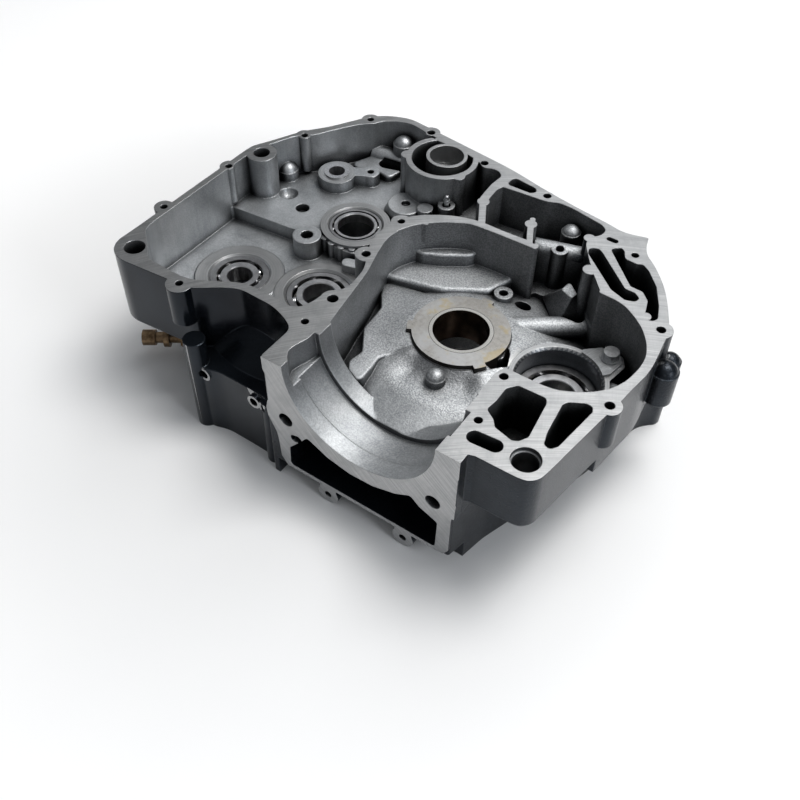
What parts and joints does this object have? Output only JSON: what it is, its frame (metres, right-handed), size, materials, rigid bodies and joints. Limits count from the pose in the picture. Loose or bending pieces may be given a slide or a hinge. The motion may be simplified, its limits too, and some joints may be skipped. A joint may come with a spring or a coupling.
{
  "type": "crankcase half",
  "caption": "Half of a single-cylinder engine crankcase seen from its split face, with gearbox, crank and balancer chambers and ball bearings in their seats.",
  "frame": {"origin": "centre of the main bearing bore at its inner face", "axes": "+Z out of the split face along the crank axis, +X along the cylinder deck line towards the front mount, -Y towards the cylinder"},
  "size_m": [0.3417, 0.2498, 0.104],
  "materials": {
    "cast_alloy": "satin",
    "insert_steel": "satin",
    "shell_steel": "polished",
    "bush_steel": "satin",
    "plate_steel": "satin",
    "zinc_steel": "satin",
    "bearing_steel": "polished",
    "cage_steel": "satin",
    "ball_steel": "polished",
    "union_brass": "satin"
  },
  "bodies": {
    "case": {"crankcase_casting": "cast_alloy", "main_bearing_insert": "insert_steel", "main_bearing_shell": "shell_steel", "shift_shaft_bush": "bush_steel", "balancer_retainer_plate": "plate_steel", "retainer_washer": "zinc_steel", "retainer_screw": "zinc_steel", "mainshaft_bearing_outer_ring": "bearing_steel", "countershaft_bearing_outer_ring": "bearing_steel", "shift_drum_bearing_outer_ring": "bearing_steel", "balancer_bearing_outer_ring": "bearing_steel", "oil_jet": "union_brass", "oil_line_union": "union_brass"},
    "mainshaft_bearing_inner": {"mainshaft_bearing_inner_ring": "bearing_steel"},
    "mainshaft_bearing_cage_set": {"mainshaft_bearing_cage": "cage_steel", "mainshaft_bearing_balls": "ball_steel"},
    "countershaft_bearing_inner": {"countershaft_bearing_inner_ring": "bearing_steel"},
    "countershaft_bearing_cage_set": {"countershaft_bearing_cage": "cage_steel", "countershaft_bearing_balls": "ball_steel"},
    "shift_drum_bearing_inner": {"shift_drum_bearing_inner_ring": "bearing_steel"},
    "shift_drum_bearing_cage_set": {"shift_drum_bearing_cage": "cage_steel", "shift_drum_bearing_balls": "ball_steel"},
    "balancer_bearing_inner": {"balancer_bearing_inner_ring": "bearing_steel"},
    "balancer_bearing_cage_set": {"balancer_bearing_cage": "cage_steel", "balancer_bearing_balls": "ball_steel"}
  },
  "joints": [
    {"name": "mainshaft_bearing_spin", "type": "hinge", "parent": "case", "child": "mainshaft_bearing_inner", "pos_m": [-0.0998, -0.0153, -0.017], "axis": [0, 0, 1], "continuous": true},
    {"name": "mainshaft_bearing_cage_spin", "type": "hinge", "parent": "case", "child": "mainshaft_bearing_cage_set", "pos_m": [-0.0998, -0.0153, -0.017], "axis": [0, 0, 1], "continuous": true},
    {"name": "countershaft_bearing_spin", "type": "hinge", "parent": "case", "child": "countershaft_bearing_inner", "pos_m": [-0.155, -0.0309, -0.017], "axis": [0, 0, 1], "continuous": true},
    {"name": "countershaft_bearing_cage_spin", "type": "hinge", "parent": "case", "child": "countershaft_bearing_cage_set", "pos_m": [-0.155, -0.0309, -0.017], "axis": [0, 0, 1], "continuous": true},
    {"name": "shift_drum_bearing_spin", "type": "hinge", "parent": "case", "child": "shift_drum_bearing_inner", "pos_m": [-0.1139, 0.0449, -0.0025], "axis": [0, 0, 1], "continuous": true},
    {"name": "shift_drum_bearing_cage_spin", "type": "hinge", "parent": "case", "child": "shift_drum_bearing_cage_set", "pos_m": [-0.1139, 0.0449, -0.0025], "axis": [0, 0, 1], "continuous": true},
    {"name": "balancer_bearing_spin", "type": "hinge", "parent": "case", "child": "balancer_bearing_inner", "pos_m": [0.0685, 0.0005, -0.0245], "axis": [0, 0, 1], "continuous": true},
    {"name": "balancer_bearing_cage_spin", "type": "hinge", "parent": "case", "child": "balancer_bearing_cage_set", "pos_m": [0.0685, 0.0005, -0.0245], "axis": [0, 0, 1], "continuous": true}
  ],
  "couplings": [
    {"joint": "mainshaft_bearing_cage_spin", "follows": "mainshaft_bearing_spin", "ratio": 0.3909},
    {"joint": "countershaft_bearing_cage_spin", "follows": "countershaft_bearing_spin", "ratio": 0.3807},
    {"joint": "shift_drum_bearing_cage_spin", "follows": "shift_drum_bearing_spin", "ratio": 0.4435},
    {"joint": "balancer_bearing_cage_spin", "follows": "balancer_bearing_spin", "ratio": 0.3883}
  ]
}
